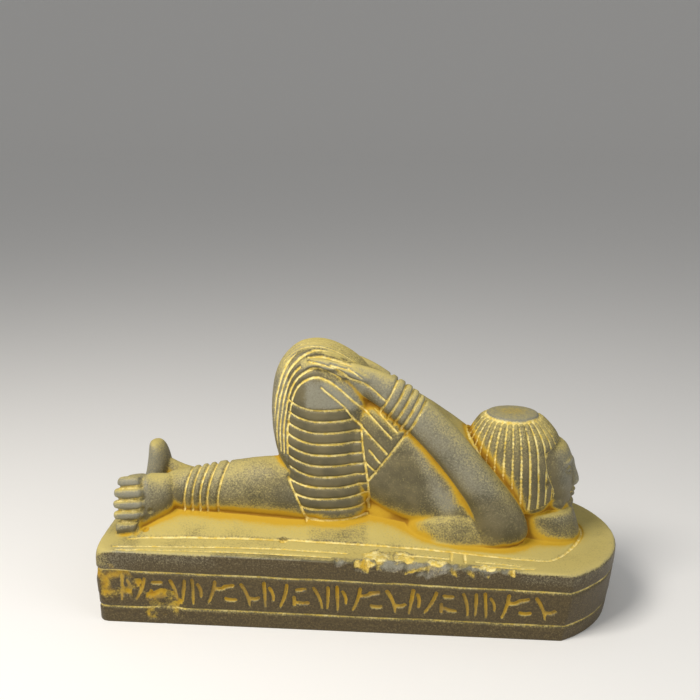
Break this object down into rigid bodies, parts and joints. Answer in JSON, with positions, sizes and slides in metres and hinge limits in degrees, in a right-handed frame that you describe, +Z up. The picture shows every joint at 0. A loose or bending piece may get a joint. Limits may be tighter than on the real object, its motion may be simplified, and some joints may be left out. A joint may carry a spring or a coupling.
{
  "type": "egyptian servant statue",
  "caption": "Small carved stone figure of a kneeling servant bowed to the ground, hands laid on the hips, on a plinth with a round nose and a band of strokes.",
  "frame": {"origin": "underside of the plinth, at the middle of the whole object's length and width", "axes": "+X along the length towards the head, -Y the inscribed front side, +Z up"},
  "size_m": [0.1264, 0.05, 0.0652],
  "materials": {
    "stone": "dark grey-green stone, satin on worn crests, with golden yellow powder in the grooves and on upward faces"
  },
  "bodies": {
    "root": {"servant_statue": "stone"}
  },
  "joints": []
}
